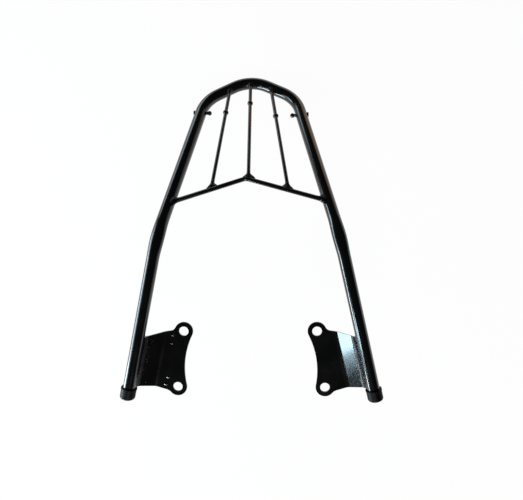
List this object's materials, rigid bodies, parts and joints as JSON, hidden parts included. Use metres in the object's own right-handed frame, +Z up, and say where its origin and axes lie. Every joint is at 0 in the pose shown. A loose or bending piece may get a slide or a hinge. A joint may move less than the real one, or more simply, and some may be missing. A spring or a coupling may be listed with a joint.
{
  "type": "motorcycle luggage rack",
  "caption": "Welded tube luggage rack: a bent hoop with a rod deck at the rear, two side arms and folded mounting plates that bolt to the seat rails.",
  "frame": {"origin": "midway between the two rear bolt holes, on the plates' undersides", "axes": "+Z up out of the mounting plates, +Y back to the luggage deck, +X to the right as the picture shows it"},
  "size_m": [0.4038, 0.5209, 0.1578],
  "materials": {
    "black_enamel": "gloss black enamel on steel",
    "enamelled_weld": "gloss black enamel over rough weld metal",
    "black_rubber": "matte black rubber"
  },
  "bodies": {
    "root": {"hoop_tube": "black_enamel", "left_plate": "black_enamel", "right_plate": "black_enamel", "cross_bar": "black_enamel", "left_rod": "black_enamel", "centre_rod": "black_enamel", "right_rod": "black_enamel", "left_hook": "black_enamel", "right_hook": "black_enamel", "left_bead": "black_enamel", "centre_bead": "black_enamel", "right_bead": "black_enamel", "left_cap": "black_rubber", "right_cap": "black_rubber", "left_plate_weld": "enamelled_weld", "right_plate_weld": "enamelled_weld", "left_bar_weld": "enamelled_weld", "right_bar_weld": "enamelled_weld", "left_foot_weld": "enamelled_weld", "centre_foot_weld": "enamelled_weld", "right_foot_weld": "enamelled_weld", "left_top_weld": "enamelled_weld", "centre_top_weld": "enamelled_weld", "right_top_weld": "enamelled_weld"}
  },
  "joints": []
}
